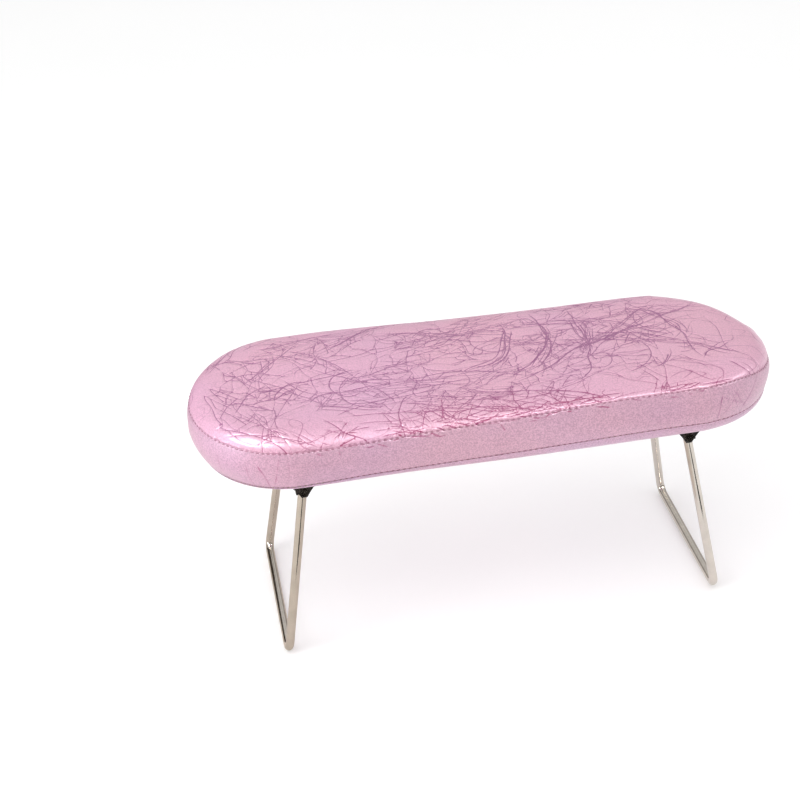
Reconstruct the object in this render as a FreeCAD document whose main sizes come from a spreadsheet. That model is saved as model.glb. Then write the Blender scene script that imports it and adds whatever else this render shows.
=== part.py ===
"""Folding manicure arm rest: a padded, stadium-shaped cushion on two folding wire legs.

Units are millimetres and degrees.  The origin is the centre of the footprint on the table top,
+X runs along the cushion, +Y across it and +Z up.  The cushion is a foam block over a plywood
board inside a sewn cover.  Each leg is one bent wire whose two ends pivot in the ears of a pressed
hinge plate under the board, and folds inwards until it lies flat against the underside.
"""
import FreeCAD, Part

import math
import os
import re

import Sketcher
from FreeCAD import Placement, Rotation, Vector

doc = FreeCAD.newDocument("manicure_arm_rest")

# Driving dimensions, one named cell each: (name, value, meaning).
DIMENSIONS = [
    ("pad_length", 400.0, "cushion, end to end"),
    ("pad_width", 136.0, "cushion, front to back"),
    ("pad_thickness", 45.5, "cushion, underside to crown"),
    ("pad_corner", 62.0, "plan radius of the cushion's four corners"),
    ("shoulder_radius", 9.0, "roll of the top panel into the side"),
    ("rim_radius", 14.0, "roll of the side into the underside"),
    ("cover_thickness", 0.9, "coated cover material"),
    ("liner_thickness", 0.8, "panel that covers the underside"),
    ("liner_inset", 17.0, "liner edge, in from the outline"),
    ("top_seam_height", 39.6, "upper seam above the underside"),
    ("low_seam_height", 10.8, "lower seam above the underside"),
    ("thread_diameter", 0.6, "sewing thread"),
    ("hem_inset", 27.0, "inner edge of the cover's turned-under hem"),
    ("board_thickness", 9.0, "plywood board"),
    ("board_inset", 15.5, "board edge, in from the outline"),
    ("hinge_offset", 131.0, "hinge axis from the middle of the cushion"),
    ("hinge_drop", 6.0, "hinge axis below the underside"),
    ("leg_length", 125.0, "hinge axis to the centre of the foot bar"),
    ("leg_splay", 9.75, "outward lean of an open leg"),
    ("wire_diameter", 6.0, "leg wire"),
    ("hinge_half_width", 46.0, "leg rod from the middle, at the hinge"),
    ("foot_half_width", 62.0, "leg rod from the middle, at the foot"),
    ("elbow_radius", 3.5, "centreline bend at the hinge end of a rod"),
    ("foot_bend_radius", 7.0, "centreline bend at the foot end of a rod"),
    ("pin_diameter", 4.0, "necked pivot pin at each wire end"),
    ("pin_clearance", 0.05, "radial clearance of a pin in its ear"),
    ("head_diameter", 6.4, "peened head of a pivot pin"),
    ("head_thickness", 0.9, "peened head of a pivot pin"),
    ("side_clearance", 0.2, "play along the pin, each side of an ear"),
    ("plate_thickness", 1.6, "hinge plate sheet"),
    ("plate_inboard", 15.0, "plate edge, inboard of the hinge axis"),
    ("plate_outboard", 9.0, "plate edge, outboard of the hinge axis"),
    ("ear_position", 50.6, "inner face of an ear, from the middle"),
    ("ear_top_half", 9.0, "half width of an ear at the plate"),
    ("ear_tip_radius", 4.6, "round tip of an ear, about the hinge axis"),
    ("tab_inner", 41.0, "stop tab, edge nearest the middle"),
    ("tab_outer", 50.0, "stop tab, edge nearest the ear"),
    ("tab_drop", 3.5, "stop tab's lower edge, below the hinge axis"),
    ("screw_inboard", 9.5, "screw row, inboard of the hinge axis"),
    ("screw_outboard", 3.5, "screw row, outboard of the hinge axis"),
    ("screw_half_width", 29.0, "screws, from the middle"),
    ("screw_diameter", 3.5, "wood screw shank"),
    ("screw_length", 9.0, "wood screw under the head, tip included"),
    ("screw_tip", 3.0, "conical tip of a wood screw"),
    ("screw_point", 0.44, "blunt end of a wood screw's tip"),
    ("screw_head", 7.0, "wood screw head diameter"),
    ("screw_head_rise", 2.0, "wood screw head thickness"),
    ("recess_length", 4.0, "cross recess in a screw head"),
    ("recess_width", 0.9, "cross recess in a screw head"),
    ("recess_depth", 1.2, "cross recess in a screw head"),
    ("staple_crown", 10.0, "staple, across its two legs"),
    ("staple_wire", 0.6, "staple wire"),
    ("staple_leg", 6.0, "staple leg, from the crown up"),
    ("staple_inset", 22.0, "staple row, in from the outline"),
    ("staple_pitch", 36.0, "spacing of the staples along the hem, at most"),
]

sheet = doc.addObject("Spreadsheet::Sheet", "Dimensions")
for row, (alias, value, meaning) in enumerate(DIMENSIONS, start=1):
    sheet.set(f"A{row}", meaning)
    sheet.set(f"B{row}", str(value))
    sheet.setAlias(f"B{row}", alias)
doc.recompute()

SUB_PARTS = {}


def size(alias):
    """The value of a driving dimension."""
    return float(getattr(sheet, alias))


def cells(formula):
    """A formula in dimension names, written as a spreadsheet expression."""
    names = {alias for alias, _value, _meaning in DIMENSIONS}

    def expand(word):
        return f"Dimensions.{word[0]}" if word[0] in names else word[0]

    return re.sub(r"[a-z_]+", expand, formula)


def bind(item, **formulas):
    """Bind an object's properties to the sheet; a double underscore stands for a dot."""
    for name, formula in formulas.items():
        item.setExpression(name.replace("__", "."), cells(formula))


def keep(name, item):
    """Name an object as a finished sub-part."""
    item.Label = name
    SUB_PARTS[name] = item
    return item


HINGE_HEIGHT = "leg_length * cos(leg_splay) + wire_diameter / 2"
PAD_BASE = HINGE_HEIGHT + " + hinge_drop"
hinge_height = size("leg_length") * math.cos(math.radians(size("leg_splay"))) + size("wire_diameter") / 2
pad_base = hinge_height + size("hinge_drop")


# --------------------------------------------------------------------------------------- sketching

def new_body(name, lift="0"):
    """An empty body raised by a formula."""
    body = doc.addObject("PartDesign::Body", name)
    bind(body, Placement__Base__z=lift)
    return body


def sketch_on(body, role, name, offset="0"):
    """A sketch on one of the body's own origin planes, moved along that plane's normal."""
    plane = next(item for item in body.Origin.OriginFeatures if item.Role == role)
    sketch = body.newObject("Sketcher::SketchObject", name)
    sketch.AttachmentSupport = [(plane, "")]
    sketch.MapMode = "FlatFace"
    bind(sketch, AttachmentOffset__Base__z=offset)
    return sketch


def draw_polygon(sketch, corners):
    """A closed outline of straight edges whose corners are pairs of formulas."""
    points = [Vector(evaluate(across), evaluate(up), 0) for across, up in corners]
    count = len(points)
    for index in range(count):
        sketch.addGeometry(Part.LineSegment(points[index], points[(index + 1) % count]), False)
    for index, (across, up) in enumerate(corners):
        sketch.addConstraint(Sketcher.Constraint("Coincident", index, 2, (index + 1) % count, 1))
        pin_point(sketch, index, 1, across, up)


def pin_point(sketch, edge, end, across, up):
    """Fix one point of a sketch at a pair of formulas, measured from the sketch's origin."""
    for kind, formula in (("DistanceX", across), ("DistanceY", up)):
        value = evaluate(formula)
        index = sketch.addConstraint(Sketcher.Constraint(kind, -1, 1, edge, end, value))
        sketch.setExpression(f"Constraints[{index}]", cells(formula))


def evaluate(formula):
    """The present value of a formula in dimension names."""
    result = sheet.evalExpression(cells(formula).replace("Dimensions.", ""))
    return float(getattr(result, "Value", result))


def draw_circle(sketch, across, up, radius):
    """A circle whose centre and radius are formulas."""
    centre = Vector(evaluate(across), evaluate(up), 0)
    edge = sketch.addGeometry(Part.Circle(centre, Vector(0, 0, 1), evaluate(radius)), False)
    pin_point(sketch, edge, 3, across, up)
    index = sketch.addConstraint(Sketcher.Constraint("Radius", edge, evaluate(radius)))
    sketch.setExpression(f"Constraints[{index}]", cells(radius))


def draw_rounded_rectangle(sketch, inset):
    """The cushion's outline, moved in by a formula, centred on the origin."""
    half_length = evaluate(f"pad_length / 2 - ({inset})")
    half_width = evaluate(f"pad_width / 2 - ({inset})")
    radius = evaluate(f"pad_corner - ({inset})")
    corners = [(1, 1, 0), (-1, 1, 90), (-1, -1, 180), (1, -1, 270)]
    arcs = []
    for side_x, side_y, start in corners:
        centre = Vector(side_x * (half_length - radius), side_y * (half_width - radius), 0)
        circle = Part.Circle(centre, Vector(0, 0, 1), radius)
        arcs.append(Part.ArcOfCircle(circle, math.radians(start), math.radians(start + 90)))
    for arc, following in zip(arcs, arcs[1:] + arcs[:1]):
        sketch.addGeometry(arc, False)
        sketch.addGeometry(Part.LineSegment(arc.EndPoint, following.StartPoint), False)
    count = 2 * len(arcs)
    for index in range(count):
        sketch.addConstraint(Sketcher.Constraint("Tangent", index, 2, (index + 1) % count, 1))
    for index, (side_x, side_y, _start) in enumerate(corners):
        centre_x = f"{side_x} * (pad_length / 2 - pad_corner)"
        centre_y = f"{side_y} * (pad_width / 2 - pad_corner)"
        pin_point(sketch, 2 * index, 3, centre_x, centre_y)
    for arc_index in range(2, count, 2):
        sketch.addConstraint(Sketcher.Constraint("Equal", 0, arc_index))
    number = sketch.addConstraint(Sketcher.Constraint("Radius", 0, radius))
    sketch.setExpression(f"Constraints[{number}]", cells(f"pad_corner - ({inset})"))


def pad(body, name, sketch, length, downwards=False):
    """Extrude a sketch along its plane's normal."""
    feature = body.newObject("PartDesign::Pad", name)
    feature.Profile = sketch
    feature.Reversed = downwards
    bind(feature, Length=length)
    doc.recompute()
    return feature


def pocket(body, name, sketch, both_ways=True):
    """Cut a sketch right through the body."""
    feature = body.newObject("PartDesign::Pocket", name)
    feature.Profile = sketch
    feature.Type = "ThroughAll"
    feature.Midplane = both_ways
    before = body.Shape.Volume
    doc.recompute()
    assert body.Shape.Volume < before, f"{name} cuts nothing"
    return feature


def edges_at(shape, height):
    """Names of the horizontal edges of a shape that lie at one height."""
    names = []
    for number, edge in enumerate(shape.Edges, start=1):
        box = edge.BoundBox
        if abs(box.ZMin - height) < 1e-6 and abs(box.ZMax - height) < 1e-6:
            names.append(f"Edge{number}")
    return names


def fillet(body, name, base, height, radius):
    """Round the body's edges at one height above its own base."""
    feature = body.newObject("PartDesign::Fillet", name)
    feature.Base = (base, edges_at(base.Shape, height))
    bind(feature, Radius=radius)
    doc.recompute()
    return feature


# --------------------------------------------------------------------------------- the sewn cushion

def cushion_form(name, skin):
    """The cushion's outer form, shrunk all round by the thickness of a skin."""
    body = new_body(name, f"{PAD_BASE} + liner_thickness + ({skin})")
    outline = sketch_on(body, "XY_Plane", f"{name}_outline")
    draw_rounded_rectangle(outline, skin)
    doc.recompute()
    height = f"pad_thickness - liner_thickness - 2 * ({skin})"
    block = pad(body, f"{name}_block", outline, height)
    shoulder = fillet(body, f"{name}_shoulder", block, evaluate(height), f"shoulder_radius - ({skin})")
    fillet(body, f"{name}_rim", shoulder, 0.0, f"rim_radius - ({skin})")
    return body


def plate_form(name, inset, base, thickness):
    """A flat panel that follows the cushion's outline."""
    body = new_body(name, base)
    outline = sketch_on(body, "XY_Plane", f"{name}_outline")
    draw_rounded_rectangle(outline, inset)
    doc.recompute()
    pad(body, f"{name}_panel", outline, thickness)
    return body


def slab(name, low, high):
    """A box wider than the cushion, between two heights above the underside."""
    box = doc.addObject("Part::Box", name)
    bind(
        box,
        Length="pad_length * 2",
        Width="pad_width * 2",
        Height=f"({high}) - ({low})",
        Placement__Base__x="-pad_length",
        Placement__Base__y="-pad_width",
        Placement__Base__z=f"{PAD_BASE} + ({low})",
    )
    return box


def boolean(kind, name, base, tool):
    """A cut, common or fuse of two objects."""
    result = doc.addObject(f"Part::{kind}", name)
    result.Base = base
    result.Tool = tool
    doc.recompute()
    return result


def seam_thread(name, height, roll_radius, roll_centre):
    """One ring of thread lying against the cover where it rolls over at a given height."""
    radius = size("thread_diameter") / 2
    rise = evaluate(height) - evaluate(roll_centre)
    angle = math.asin(rise / size(roll_radius))
    inset = size(roll_radius) - (size(roll_radius) + radius) * math.cos(angle)
    lift = pad_base + evaluate(roll_centre) + (size(roll_radius) + radius) * math.sin(angle)
    outline = doc.addObject("Sketcher::SketchObject", f"{name}_line")
    draw_rounded_rectangle(outline, str(inset))
    doc.recompute()
    path = outline.Shape.copy()
    path.translate(Vector(0, 0, lift))
    start = path.OrderedVertexes[0].Point
    direction = path.OrderedEdges[0].tangentAt(path.OrderedEdges[0].FirstParameter)
    section = Part.Wire(Part.makeCircle(radius, start, direction))
    ring = doc.addObject("Part::Feature", name)
    ring.Shape = path.makePipeShell([section], True, True)
    return keep(name, ring)


outer_form = cushion_form("cushion_outside", "0")
inner_form = cushion_form("cushion_inside", "cover_thickness")
cover = boolean("Cut", "cover_skin", outer_form, inner_form)

top_slab = slab("above_top_seam", "top_seam_height", "pad_thickness * 2")
side_slab = slab("between_seams", "low_seam_height", "top_seam_height")
rim_slab = slab("below_low_seam", "0", "low_seam_height")
keep("top_cover", boolean("Common", "top_cover", cover, top_slab))
keep("side_band", boolean("Common", "side_band", cover, side_slab))
hem_opening = plate_form("hem_opening", "hem_inset", PAD_BASE, "low_seam_height")
rim_skin = boolean("Common", "rim_skin", cover, rim_slab)
keep("rim_cover", boolean("Cut", "rim_cover", rim_skin, hem_opening))

board_seat = f"{PAD_BASE} + liner_thickness + cover_thickness"
board_blank = plate_form("board_blank", "board_inset", board_seat, "board_thickness - cover_thickness")
board_step = sketch_on(board_blank, "XY_Plane", "board_step_outline")
draw_rounded_rectangle(board_step, "hem_inset")
doc.recompute()
pad(board_blank, "board_step", board_step, "cover_thickness", downwards=True)
liner_blank = plate_form("liner_blank", "liner_inset", PAD_BASE, "liner_thickness")
keep("foam_core", boolean("Cut", "foam_core", inner_form, board_blank))

seam_thread("top_seam_thread", "top_seam_height", "shoulder_radius", "pad_thickness - shoulder_radius")
seam_thread("low_seam_thread", "low_seam_height", "rim_radius", "liner_thickness + rim_radius")


# ------------------------------------------------------------------------------- hinges and legs

EAR_FLAT = "(ear_tip_radius * tan(22.5 deg))"
PAST_EDGE = "2 * plate_outboard"
SCREW_PLACES = [
    (across, f"{side} * screw_half_width")
    for across in ("screw_inboard", "-screw_outboard")
    for side in (-1, 1)
]


def hinge_plate(name):
    """A pressed plate with two pivot ears and two stop tabs, its hinge axis along Y at the origin.

    Outboard is -X.  The tabs stand outboard of the rods and hold an open leg at its splay.
    """
    body = new_body(name)
    sheet_top = "hinge_drop"
    sheet_bottom = "hinge_drop - plate_thickness"
    ear_outer = "ear_position + plate_thickness"

    outline = sketch_on(body, "XY_Plane", f"{name}_outline", sheet_bottom)
    draw_polygon(outline, [
        ("-plate_outboard", f"-({ear_outer})"),
        ("plate_inboard", f"-({ear_outer})"),
        ("plate_inboard", ear_outer),
        ("-plate_outboard", ear_outer),
    ])
    doc.recompute()
    pad(body, f"{name}_sheet", outline, "plate_thickness")

    tab_near = "(tab_drop * tan(leg_splay) + (wire_diameter / 2 + pin_clearance) / cos(leg_splay))"
    tab_far = f"({tab_near} + plate_thickness)"
    for side in (-1, 1):
        notch = sketch_on(body, "XY_Plane", f"{name}_notch", sheet_bottom)
        draw_polygon(notch, [
            (f"-{PAST_EDGE}", f"{side} * tab_inner"),
            (f"-{tab_far}", f"{side} * tab_inner"),
            (f"-{tab_far}", f"{side} * tab_outer"),
            (f"-{PAST_EDGE}", f"{side} * tab_outer"),
        ])
        doc.recompute()
        pocket(body, f"{name}_notch_cut", notch)
        tab = sketch_on(body, "XY_Plane", f"{name}_tab", sheet_top)
        draw_polygon(tab, [
            (f"-{tab_far}", f"{side} * tab_inner"),
            (f"-{tab_near}", f"{side} * tab_inner"),
            (f"-{tab_near}", f"{side} * tab_outer"),
            (f"-{tab_far}", f"{side} * tab_outer"),
        ])
        doc.recompute()
        pad(body, f"{name}_stop_tab", tab, "hinge_drop + tab_drop", downwards=True)

    for side in (-1, 1):
        inner = "-ear_position" if side > 0 else ear_outer
        ear = sketch_on(body, "XZ_Plane", f"{name}_ear", inner)
        draw_polygon(ear, [
            ("-ear_top_half", sheet_top),
            ("-ear_tip_radius", "0"),
            (f"-{EAR_FLAT}", "-ear_tip_radius"),
            (EAR_FLAT, "-ear_tip_radius"),
            ("ear_tip_radius", "0"),
            ("ear_top_half", sheet_top),
        ])
        doc.recompute()
        pad(body, f"{name}_ear_sheet", ear, "plate_thickness", downwards=True)

    pivot = sketch_on(body, "XZ_Plane", f"{name}_pivot")
    draw_circle(pivot, "0", "0", "pin_diameter / 2 + pin_clearance")
    doc.recompute()
    pocket(body, f"{name}_pivot_holes", pivot)

    holes = sketch_on(body, "XY_Plane", f"{name}_screw_places")
    for across, along in SCREW_PLACES:
        draw_circle(holes, across, along, "screw_diameter / 2")
    doc.recompute()
    pocket(body, f"{name}_screw_holes", holes)
    return body


ROD_LEAN = "atan((foot_half_width - hinge_half_width) / leg_length)"
SHOULDER = "(ear_position - side_clearance)"
PIN_TIP = "(ear_position + plate_thickness + side_clearance)"


def bend(sketch, centre, radius, first, last):
    """An arc with its centre and radius bound to formulas, drawn from one angle to another."""
    middle = Vector(evaluate(centre[0]), evaluate(centre[1]), 0)
    points = []
    for angle in (first, (first + last) / 2, last):
        turn = math.radians(angle)
        points.append(middle + Vector(math.cos(turn), math.sin(turn), 0) * evaluate(radius))
    edge = sketch.addGeometry(Part.Arc(*points), False)
    pin_point(sketch, edge, 3, *centre)
    index = sketch.addConstraint(Sketcher.Constraint("Radius", edge, evaluate(radius)))
    sketch.setExpression(f"Constraints[{index}]", cells(radius))
    return edge, points[0], points[-1]


def leg_centreline(sketch):
    """Half pins, rods and foot bar of a leg, joined by four tangent bends."""
    lean = evaluate(ROD_LEAN)
    bend_share = f"tan(45 deg - {ROD_LEAN} / 2)"
    elbow_y = f"(hinge_half_width + elbow_radius / {bend_share})"
    foot_y = f"(foot_half_width - foot_bend_radius / {bend_share})"
    foot_z = "-(leg_length - foot_bend_radius)"
    bends = [
        ((f"-{elbow_y}", "-elbow_radius"), "elbow_radius", 90.0, lean),
        ((f"-{foot_y}", foot_z), "foot_bend_radius", 180.0 + lean, 270.0),
        ((foot_y, foot_z), "foot_bend_radius", 270.0, 360.0 - lean),
        ((elbow_y, "-elbow_radius"), "elbow_radius", 180.0 - lean, 90.0),
    ]
    start = Vector(-evaluate(SHOULDER), 0, 0)
    straight = None
    for centre, radius, first, last in bends:
        arc, arc_start, arc_end = bend(sketch, centre, radius, first, last)
        clockwise = last < first
        line = sketch.addGeometry(Part.LineSegment(start, arc_start), False)
        if straight is not None:
            sketch.addConstraint(Sketcher.Constraint("Tangent", *straight, line, 1))
        sketch.addConstraint(Sketcher.Constraint("Tangent", line, 2, arc, 2 if clockwise else 1))
        straight = (arc, 1 if clockwise else 2)
        start = arc_end
    line = sketch.addGeometry(Part.LineSegment(start, Vector(evaluate(SHOULDER), 0, 0)), False)
    sketch.addConstraint(Sketcher.Constraint("Tangent", *straight, line, 1))
    pin_point(sketch, 1, 1, f"-{SHOULDER}", "0")
    pin_point(sketch, line, 2, SHOULDER, "0")


def leg_wire(name):
    """One bent wire: two necked and peened pivot pins, two rods and a foot bar.

    The hinge axis is Y through the origin and the wire hangs in the YZ plane.
    """
    body = new_body(name)
    spine = sketch_on(body, "YZ_Plane", f"{name}_centreline")
    leg_centreline(spine)
    section = sketch_on(body, "XZ_Plane", f"{name}_section", SHOULDER)
    draw_circle(section, "0", "0", "wire_diameter / 2")
    doc.recompute()
    wire = body.newObject("PartDesign::AdditivePipe", f"{name}_wire")
    wire.Profile = section
    wire.Spine = (spine, [f"Edge{number}" for number in range(1, len(spine.Shape.Edges) + 1)])
    doc.recompute()

    for side in (-1, 1):
        steps = [
            ("pin", SHOULDER, "pin_diameter / 2", f"{PIN_TIP} - {SHOULDER}"),
            ("head", PIN_TIP, "head_diameter / 2", "head_thickness"),
        ]
        for step, foot, radius, length in steps:
            offset = foot if side < 0 else f"-{foot}"
            disc = sketch_on(body, "XZ_Plane", f"{name}_{step}_end", offset)
            draw_circle(disc, "0", "0", radius)
            doc.recompute()
            pad(body, f"{name}_{step}", disc, length, downwards=side > 0)
    return body


def mirrored_pair(make, name, side):
    """Build a hinge piece for one end of the cushion: side is -1 on the left and 1 on the right."""
    body = make(f"{'left' if side < 0 else 'right'}_{name}")
    bind(body, Placement__Base__x=f"{side} * hinge_offset", Placement__Base__z=HINGE_HEIGHT)
    return body


def wood_screw(name, across, along):
    """A pan-head wood screw driven upwards through a hinge plate, with a cross recess."""
    seat = f"{PAD_BASE} - plate_thickness"
    head = {"Radius": "screw_head / 2", "Height": "screw_head_rise"}
    shank = {"Radius": "screw_diameter / 2", "Height": "screw_length - screw_tip"}
    tip = {"Radius1": "screw_diameter / 2", "Radius2": "screw_point / 2", "Height": "screw_tip"}
    pieces = [
        ("Cylinder", "head", head, f"{seat} - screw_head_rise"),
        ("Cylinder", "shank", shank, seat),
        ("Cone", "tip", tip, f"{seat} + screw_length - screw_tip"),
    ]
    solids = []
    for kind, label, sizes, height in pieces:
        solid = doc.addObject(f"Part::{kind}", f"{name}_{label}")
        bind(solid, Placement__Base__x=across, Placement__Base__y=along, Placement__Base__z=height)
        bind(solid, **sizes)
        solids.append(solid)
    blank = doc.addObject("Part::MultiFuse", f"{name}_blank")
    blank.Shapes = solids
    slots = []
    for wide, deep in (("recess_length", "recess_width"), ("recess_width", "recess_length")):
        slot = doc.addObject("Part::Box", f"{name}_slot")
        bind(
            slot,
            Length=wide,
            Width=deep,
            Height="recess_depth",
            Placement__Base__x=f"{across} - {wide} / 2",
            Placement__Base__y=f"{along} - {deep} / 2",
            Placement__Base__z=f"{seat} - screw_head_rise",
        )
        slots.append(slot)
    cross = boolean("Fuse", f"{name}_cross", *slots)
    return boolean("Cut", name, blank, cross)


def screw_group(name, side):
    """The four screws of one hinge plate."""
    screws = []
    for number, (across, along) in enumerate(SCREW_PLACES, start=1):
        screws.append(wood_screw(f"{name}_{number}", f"{side} * (hinge_offset - ({across}))", along))
    group = doc.addObject("Part::Compound", name)
    group.Links = screws
    doc.recompute()
    return group


def hem_staples(name):
    """Wire staples through the turned-under hem into the board, evenly spaced along the outline."""
    line = doc.addObject("Sketcher::SketchObject", f"{name}_line")
    draw_rounded_rectangle(line, "staple_inset")
    doc.recompute()
    path = line.Shape
    count = math.ceil(path.Length / size("staple_pitch"))
    crown = size("staple_crown")
    wire = size("staple_wire")
    leg = size("staple_leg")
    bridge = Part.makeBox(crown, wire, wire, Vector(-crown / 2, -wire / 2, -wire))
    staple = bridge
    for side in (-1, 1):
        foot = side * (crown - wire) / 2 - wire / 2
        staple = staple.fuse(Part.makeBox(wire, wire, leg, Vector(foot, -wire / 2, -wire)))
    staple = staple.removeSplitter()
    underside = pad_base + size("liner_thickness")
    places = path.discretize(Number=count + 1)[:-1]
    staples = []
    for place in places:
        edge = min(path.Edges, key=lambda item: item.distToShape(Part.Vertex(place))[0])
        along = edge.tangentAt(edge.Curve.parameter(place))
        turn = Rotation(Vector(1, 0, 0), along)
        copy = staple.copy()
        copy.Placement = Placement(place + Vector(0, 0, underside), turn)
        staples.append(copy)
    group = doc.addObject("Part::Feature", name)
    group.Shape = Part.makeCompound(staples)
    return group


screw_groups = []
for side, end in ((-1, "left"), (1, "right")):
    plate = keep(f"{end}_hinge_plate", mirrored_pair(hinge_plate, "hinge_plate", side))
    leg = keep(f"{end}_leg_wire", mirrored_pair(leg_wire, "leg_wire", side))
    plate.Placement.Rotation = Rotation(Vector(0, 0, 1), 0 if side < 0 else 180)
    leg.Placement.Rotation = Rotation(Vector(0, -side, 0), size("leg_splay"))
    bind(leg, Placement__Rotation__Angle="leg_splay")
    screw_groups.append(keep(f"{end}_hinge_screws", screw_group(f"{end}_hinge_screws", side)))
keep("cover_staples", hem_staples("cover_staples"))

all_screws = boolean("Fuse", "all_screws", *screw_groups)
keep("base_board", boolean("Cut", "base_board", board_blank, all_screws))
keep("underside_liner", boolean("Cut", "underside_liner", liner_blank, all_screws))

doc.recompute()
for item in doc.Objects:
    assert not {"Invalid", "Error"} & set(item.State), f"{item.Label} failed: {item.State}"
for name, item in SUB_PARTS.items():
    assert item.Shape.isValid() and item.Shape.Solids, f"{name} has no valid solid"

os.makedirs("parts", exist_ok=True)
for name, item in SUB_PARTS.items():
    item.Shape.exportStep(f"parts/{name}.step")
    print(name, len(item.Shape.Solids), round(item.Shape.Volume))
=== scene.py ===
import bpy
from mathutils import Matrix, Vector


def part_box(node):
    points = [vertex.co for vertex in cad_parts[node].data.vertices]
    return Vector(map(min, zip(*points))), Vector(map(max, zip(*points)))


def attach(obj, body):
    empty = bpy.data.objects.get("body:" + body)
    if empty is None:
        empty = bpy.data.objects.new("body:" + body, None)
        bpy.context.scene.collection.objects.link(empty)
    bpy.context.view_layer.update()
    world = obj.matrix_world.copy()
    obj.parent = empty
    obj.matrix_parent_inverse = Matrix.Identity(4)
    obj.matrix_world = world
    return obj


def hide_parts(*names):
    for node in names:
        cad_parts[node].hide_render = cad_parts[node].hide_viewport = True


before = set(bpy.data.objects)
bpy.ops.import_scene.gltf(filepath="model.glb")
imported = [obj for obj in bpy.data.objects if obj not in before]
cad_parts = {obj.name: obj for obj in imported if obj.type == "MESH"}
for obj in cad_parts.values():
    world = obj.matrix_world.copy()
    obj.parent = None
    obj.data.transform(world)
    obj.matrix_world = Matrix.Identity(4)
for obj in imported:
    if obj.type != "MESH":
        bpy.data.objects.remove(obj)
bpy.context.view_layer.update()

import math

import bmesh
import bpy
import numpy as np
from mathutils import Quaternion, Vector, geometry
from mathutils.bvhtree import BVHTree
from mathutils.kdtree import KDTree

# Looks of a folding manicure arm rest: a sewn cushion in crinkled pearl-pink coated leather on two
# chromed wire legs.  Lengths in this script are millimetres until a mesh is made; MM turns them
# into the frame's metres.

MM = 0.001
SEED = 85


def node_mm(node, corner):
    """A corner of a CAD node's box in millimetres: 0 is the lowest, 1 the highest."""
    return [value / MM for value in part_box(node)[corner]]


# ---- sizes taken from the frame

HALF_LENGTH = node_mm("side_band", 1)[0]
HALF_WIDTH = node_mm("side_band", 1)[1]
UNDERSIDE = node_mm("underside_liner", 0)[2]
CROWN = node_mm("top_cover", 1)[2] - UNDERSIDE
HEM_HEIGHT = node_mm("underside_liner", 1)[2] - UNDERSIDE
TOP_SEAM = node_mm("top_seam_thread", 1)[2] - UNDERSIDE
LOW_SEAM = node_mm("low_seam_thread", 1)[2] - UNDERSIDE
CORNER = 62.0              # plan radius of the cushion's corners
LINER_INSET = HALF_WIDTH - node_mm("underside_liner", 1)[1]
HEM_INSET = 27.0           # inner edge of the hem under the board
BOARD_INSET = HALF_WIDTH - node_mm("base_board", 1)[1]
BOARD_TOP = node_mm("base_board", 1)[2]
FOAM_GAP = 0.3             # slack between the foam and the board
FRONT = 2 * (HALF_LENGTH - CORNER)   # straight run of the front seam

TOP_SEAM_INSET = 2.4       # how far the upper seam pulls the cover in
LOW_SEAM_INSET = 2.2
SHOULDER_REACH = 17.0      # plan depth of the rolled shoulder of the top panel
SHOULDER_RISE = 4.2        # height the shoulder climbs above the seam
COVER = 0.9                # cover thickness
STITCH_TARGET = 3.8        # wanted distance from stitch to stitch
PINCH = 0.42               # how far a stitch pulls the leather in
PROFILE_DEPTH = 30.0       # inset where the shoulder profile joins the flat crown
PUFF_LIMIT = 1.6           # cap on how far the cloth may move
PUFF_ROOM = 1.3            # how much lower the crown starts, to leave room for the puff


# ---- outline maths

def outline(count):
    """Evenly spaced points on the plan outline, with outward normals, as two (count, 2) arrays."""
    flat = np.array([HALF_LENGTH - CORNER, HALF_WIDTH - CORNER])
    travelled = np.arange(count) * PERIMETER / count
    points = []
    normals = []
    start = 0.0
    for turn, corner in enumerate(((1, -1), (1, 1), (-1, 1), (-1, -1))):
        facing = (turn - 1) * math.pi / 2
        ahead = np.array([-math.sin(facing), math.cos(facing)])
        for run, bend in ((2 * flat[turn % 2], 0), (CORNER * math.pi / 2, 1)):
            along = travelled[(travelled >= start) & (travelled < start + run)] - start
            normal = compass(facing + bend * along / CORNER)
            short_of_corner = (1 - bend) * (run - along)
            points.append(corner * flat + normal * CORNER - short_of_corner[:, None] * ahead)
            normals.append(normal)
            start += run
    return np.vstack(points), np.vstack(normals)


PERIMETER = 4 * (HALF_LENGTH + HALF_WIDTH - 2 * CORNER) + 2 * math.pi * CORNER
STITCHES = round(PERIMETER / STITCH_TARGET)
PITCH = PERIMETER / STITCHES


def pinch(along, depth):
    """How far stitches pull the cover in, at a length round the outline and a depth from the seam."""
    beat = 0.5 + 0.5 * np.cos(2 * math.pi * along / PITCH)
    return PINCH * beat * np.exp(-(depth / 1.1) ** 2)


def plan_tree(points):
    """A look-up tree of plan points."""
    tree = KDTree(len(points))
    for index, (x, y) in enumerate(points):
        tree.insert((x, y, 0.0), index)
    tree.balance()
    return tree


def length_round(flat, step=0.1):
    """Length round the outline, counted as outline() counts it, of the places nearest plan points."""
    tree = plan_tree(outline(round(PERIMETER / step))[0])
    return np.array([tree.find((x, y, 0.0))[1] for x, y in flat]) * step


def inset_of(plan):
    """How far plan points lie inside the outline, and the outward normals there."""
    reach = np.abs(plan) - np.array([HALF_LENGTH - CORNER, HALF_WIDTH - CORNER])
    outer = np.maximum(reach, 0)
    length = np.hypot(outer[:, 0], outer[:, 1])
    inside = np.minimum(reach.max(axis=1), 0)
    normal = outer / np.maximum(length, 1e-9)[:, None] * np.sign(plan)
    return CORNER - length - inside, normal


def compass(angle):
    """Unit plan vectors that point along angles."""
    return np.column_stack([np.cos(angle), np.sin(angle)])


def hump(x, centre, reach):
    """A smooth bump of height 1."""
    return np.exp(-((x - centre) / reach) ** 2)


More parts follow.
